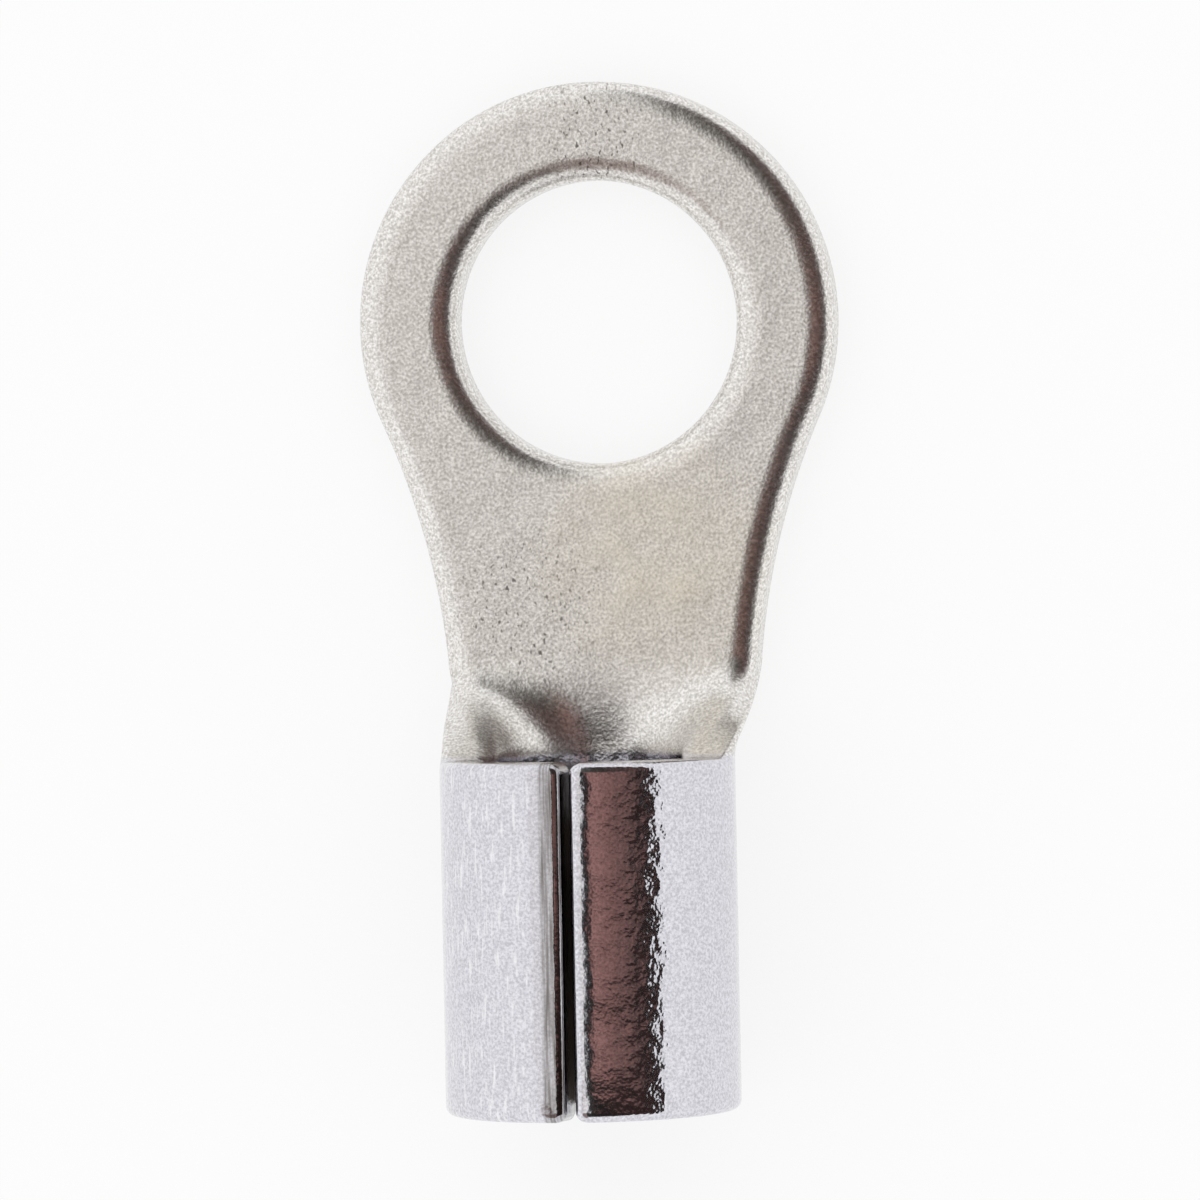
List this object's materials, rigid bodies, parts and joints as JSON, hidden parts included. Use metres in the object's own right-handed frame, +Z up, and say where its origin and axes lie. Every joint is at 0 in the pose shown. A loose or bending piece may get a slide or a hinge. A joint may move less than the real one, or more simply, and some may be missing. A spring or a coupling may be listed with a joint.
{
  "type": "ring terminal",
  "caption": "Non-insulated crimp ring terminal: a flat stamped ring and neck, curled up into a round barrel with a butted seam along its top. Tin-plated copper.",
  "frame": {"origin": "centre of the stud hole, on the underside of the ring, which is flush with the lowest line of the barrel", "axes": "+Z up through the stud hole, towards the side the seam is on; +Y away from the barrel, so the wire goes in from -Y; +X to the right"},
  "size_m": [0.009, 0.0191, 0.0055],
  "materials": {
    "tinned_copper": "electrotinned copper: satin on the flat ring and neck, burnished on the rolled barrel"
  },
  "bodies": {
    "root": {"ring_terminal": "tinned_copper"}
  },
  "joints": []
}
